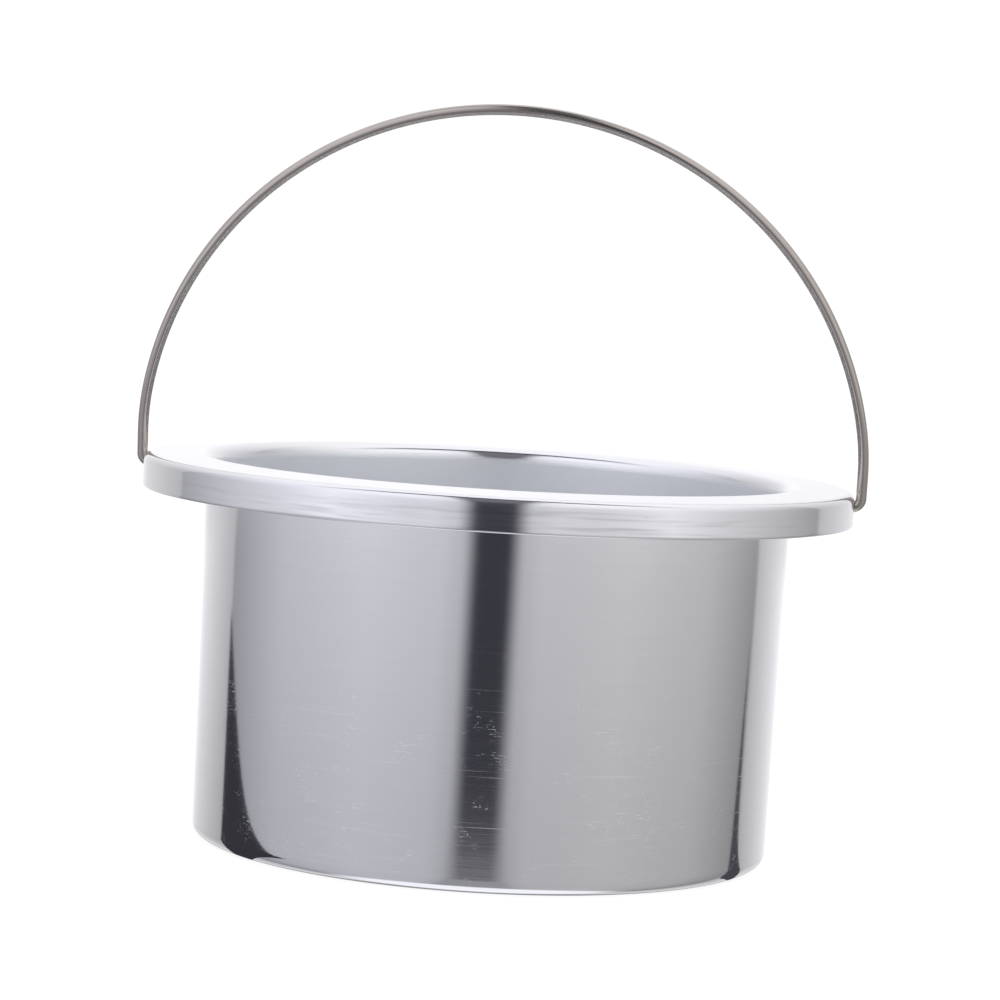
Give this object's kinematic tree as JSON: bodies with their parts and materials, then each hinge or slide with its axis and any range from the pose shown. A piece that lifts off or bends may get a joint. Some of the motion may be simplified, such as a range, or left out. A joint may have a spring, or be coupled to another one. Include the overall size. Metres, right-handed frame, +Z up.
{
  "type": "wax warmer pot",
  "caption": "Round spun aluminium inner pot with a flat flange, a short turned-down skirt and a swinging wire bail, for melting depilatory wax in a warmer.",
  "frame": {"origin": "centre of the underside of the flat base", "axes": "+Z up along the pot's axis, +X along the line through the bail's two pivot holes, -Y the side the bail leans towards"},
  "size_m": [0.1498, 0.145, 0.1511],
  "materials": {
    "pot_aluminium": "bright spun and polished, fine turning lines",
    "bail_steel": "bright drawn stainless wire"
  },
  "bodies": {
    "pot": {"pot": "pot_aluminium"},
    "bail": {"bail": "bail_steel"}
  },
  "joints": [
    {"name": "bail_swing", "type": "hinge", "parent": "pot", "child": "bail", "pos_m": [0, 0, 0.0742], "axis": [1, 0, 0], "range_deg": [-137, 117]}
  ]
}
